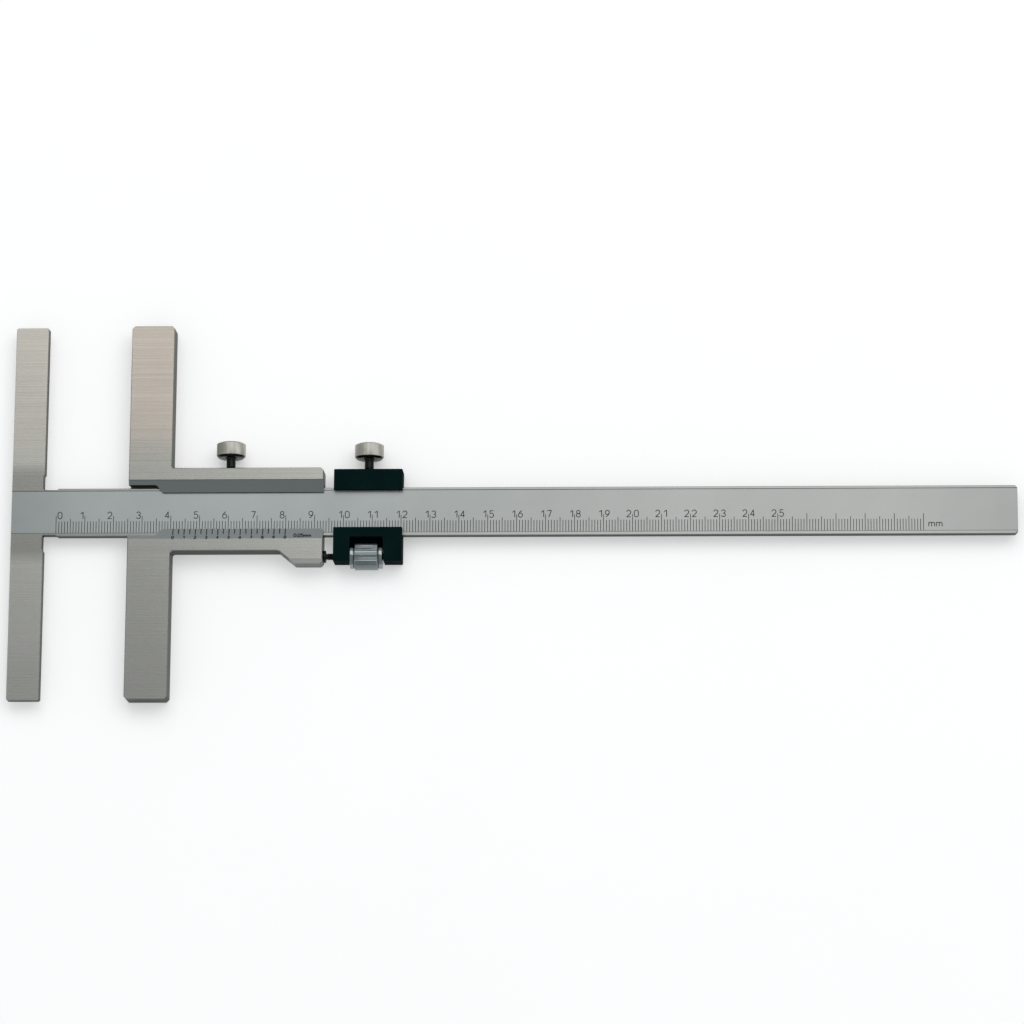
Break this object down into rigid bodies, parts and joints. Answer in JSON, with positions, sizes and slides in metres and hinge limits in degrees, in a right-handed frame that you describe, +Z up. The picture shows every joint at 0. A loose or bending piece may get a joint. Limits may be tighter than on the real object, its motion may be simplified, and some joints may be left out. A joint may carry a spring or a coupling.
{
  "type": "marking caliper",
  "caption": "Marking caliper: long scaled beam with a fixed crossbar jaw, a vernier slider with a crossbar jaw, and a fine-adjust clamp with knurled nut and thumb screws.",
  "frame": {"origin": "middle of the beam's length, on the beam's centre line, on the surface the caliper lies on", "axes": "+X along the beam away from the fixed jaw, +Y across the beam towards the thumb screws, +Z up out of the scale face"},
  "size_m": [0.348, 0.132, 0.01],
  "materials": {
    "ground_steel": "fine ground, scale faces matte chrome",
    "plated_steel": "knurled, satin nickel plated",
    "blackened_steel": "blackened, satin",
    "dark_steel": "oiled dark thread",
    "spring_bronze": "rolled strip"
  },
  "bodies": {
    "beam": {"beam": "ground_steel"},
    "slider": {"slider": "ground_steel", "spindle": "dark_steel", "gib_screws": "dark_steel"},
    "slider_gib": {"slider_gib": "spring_bronze"},
    "slider_screw": {"slider_screw": "plated_steel"},
    "clamp": {"clamp": "blackened_steel"},
    "clamp_gib": {"clamp_gib": "spring_bronze"},
    "clamp_screw": {"clamp_screw": "plated_steel"},
    "adjusting_nut": {"adjusting_nut": "plated_steel"}
  },
  "joints": [
    {"name": "slider_slide", "type": "slide", "parent": "beam", "child": "slider", "axis": [1, 0, 0], "range_m": [-0.0294, 0.209]},
    {"name": "fine_slide", "type": "slide", "parent": "slider", "child": "clamp", "axis": [1, 0, 0], "range_m": [-0.0025, 0.006]},
    {"name": "nut_turn", "type": "hinge", "parent": "clamp", "child": "adjusting_nut", "pos_m": [-0.0502, -0.01563, 0.005], "axis": [1, 0, 0], "range_deg": [-2001, 4801]},
    {"name": "slider_gib_press", "type": "slide", "parent": "slider", "child": "slider_gib", "axis": [0, 1, 0], "range_m": [-0.00005, 0.00025]},
    {"name": "slider_screw_turn", "type": "hinge", "parent": "slider_gib", "child": "slider_screw", "pos_m": [-0.0979, 0.02, 0.005], "axis": [0, 1, 0], "range_deg": [-36.5, 180.5]},
    {"name": "clamp_gib_press", "type": "slide", "parent": "clamp", "child": "clamp_gib", "axis": [0, 1, 0], "range_m": [-0.00005, 0.00025]},
    {"name": "clamp_screw_turn", "type": "hinge", "parent": "clamp_gib", "child": "clamp_screw", "pos_m": [-0.0497, 0.02, 0.005], "axis": [0, 1, 0], "range_deg": [-36.5, 180.5]}
  ],
  "couplings": [
    {"joint": "nut_turn", "follows": "fine_slide", "rad_per_m": 13963},
    {"joint": "slider_screw_turn", "follows": "slider_gib_press", "rad_per_m": 12566},
    {"joint": "clamp_screw_turn", "follows": "clamp_gib_press", "rad_per_m": 12566}
  ]
}
